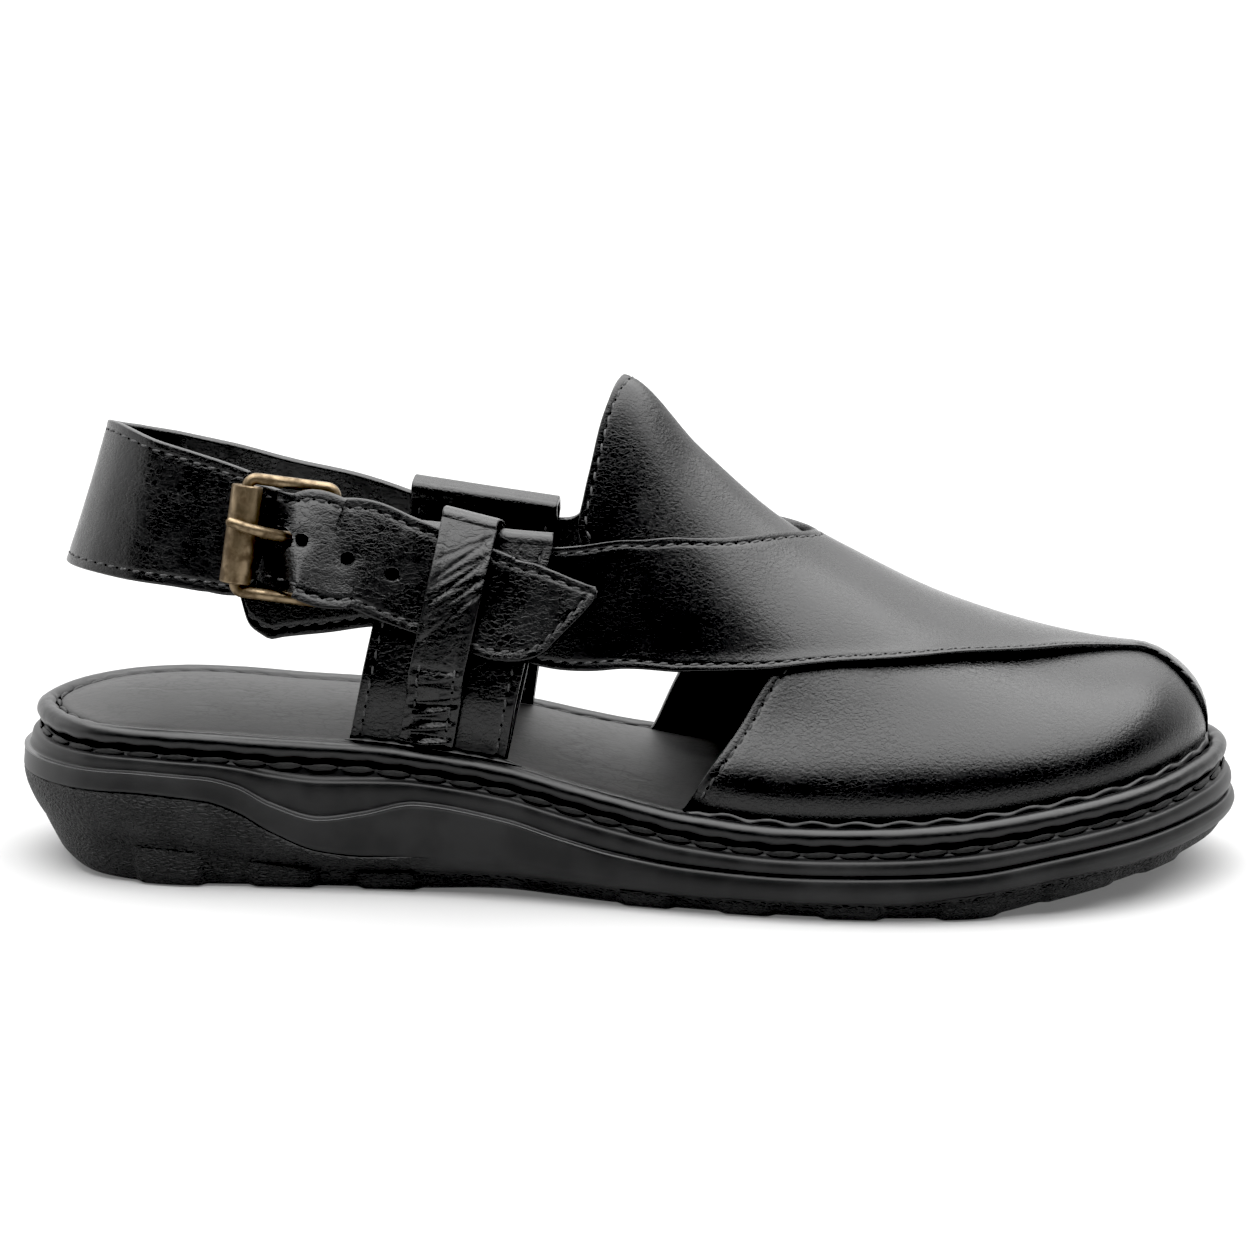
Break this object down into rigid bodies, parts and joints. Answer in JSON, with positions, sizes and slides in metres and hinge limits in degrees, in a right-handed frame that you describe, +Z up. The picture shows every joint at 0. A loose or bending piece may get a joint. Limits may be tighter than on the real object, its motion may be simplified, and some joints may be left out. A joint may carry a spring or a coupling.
{
  "type": "closed-toe sandal",
  "caption": "Closed-toe leather sandal with crossing panels, a peaked instep flap, a buckled heel strap and a moulded lugged sole.",
  "frame": {"origin": "on the floor, under the middle of the sole's bounding box", "axes": "+X to the toe, +Y to the medial side, +Z up"},
  "size_m": [0.2962, 0.1053, 0.1202],
  "materials": {
    "sole_rubber": "satin",
    "rand_leather": "semi-gloss",
    "footbed_leather": "dull",
    "upper_leather": "semi-gloss",
    "strap_leather": "semi-gloss",
    "buckle_brass": "antique"
  },
  "bodies": {
    "root": {"sole": "sole_rubber", "rand": "rand_leather", "insole": "footbed_leather", "upper": "upper_leather", "heel_strap": "strap_leather", "buckle_frame": "buckle_brass", "buckle_roller": "buckle_brass", "buckle_prong": "buckle_brass", "tab_lateral": "upper_leather", "tab_medial": "upper_leather", "keeper_loop": "upper_leather"}
  },
  "joints": []
}
